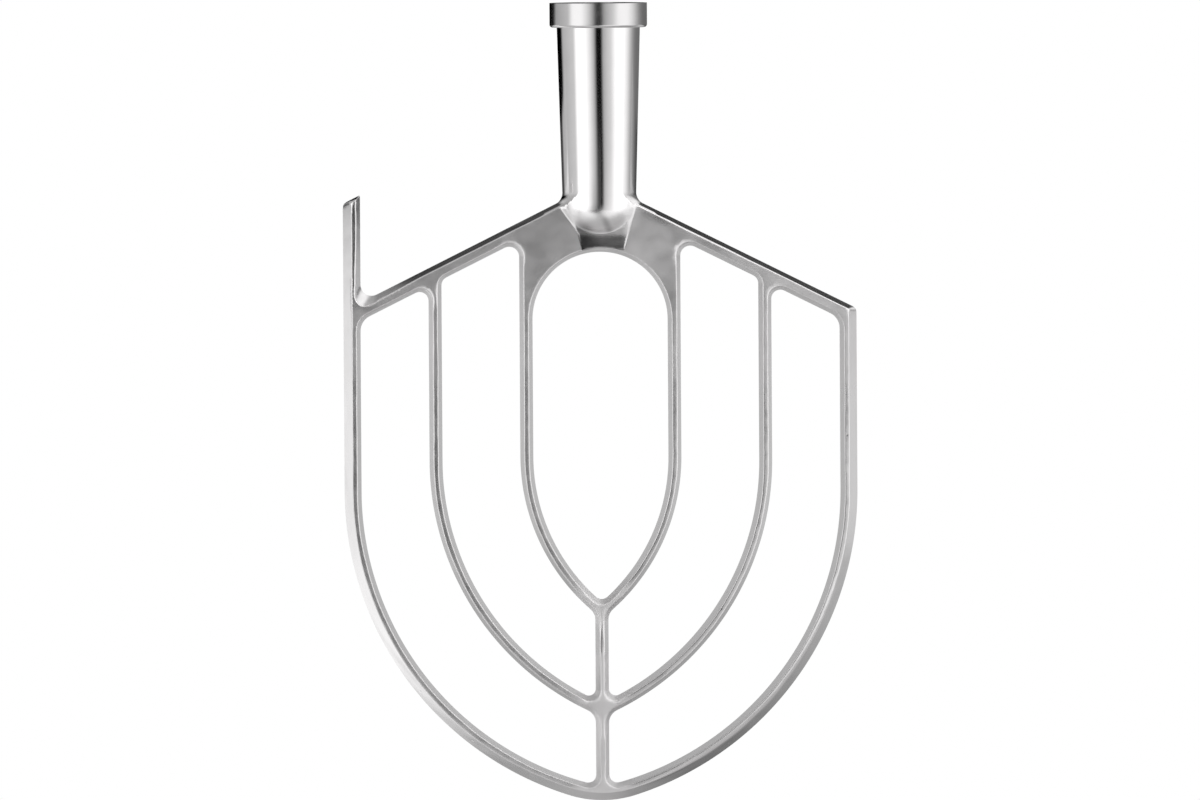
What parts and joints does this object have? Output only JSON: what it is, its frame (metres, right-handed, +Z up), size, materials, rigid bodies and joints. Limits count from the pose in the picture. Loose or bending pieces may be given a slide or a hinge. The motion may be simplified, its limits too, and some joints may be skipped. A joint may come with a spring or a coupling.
{
  "type": "mixer flat beater",
  "caption": "Flat beater of a planetary mixer: shield-shaped cast paddle of nested bows with a side horn, and a steel drive bush with bayonet grooves in its shank.",
  "frame": {"origin": "centre of the collar's top face, on the spindle axis, where the spindle enters the drive bush", "axes": "+Z up along the spindle axis, +X across the paddle away from the horn, -Y towards the front face"},
  "size_m": [0.21, 0.0398, 0.3265],
  "materials": {
    "cast_aluminium": "burnished casting",
    "steel": "turned"
  },
  "bodies": {
    "root": {"drive_bush": "steel", "shank": "cast_aluminium", "hub_web": "cast_aluminium", "left_shoulder": "cast_aluminium", "right_shoulder": "cast_aluminium", "side_horn": "cast_aluminium", "left_side_bar": "cast_aluminium", "right_side_bar": "cast_aluminium", "centre_post": "cast_aluminium", "left_inner_bow": "cast_aluminium", "right_inner_bow": "cast_aluminium", "left_middle_bow": "cast_aluminium", "right_middle_bow": "cast_aluminium", "bottom_bow": "cast_aluminium"}
  },
  "joints": []
}
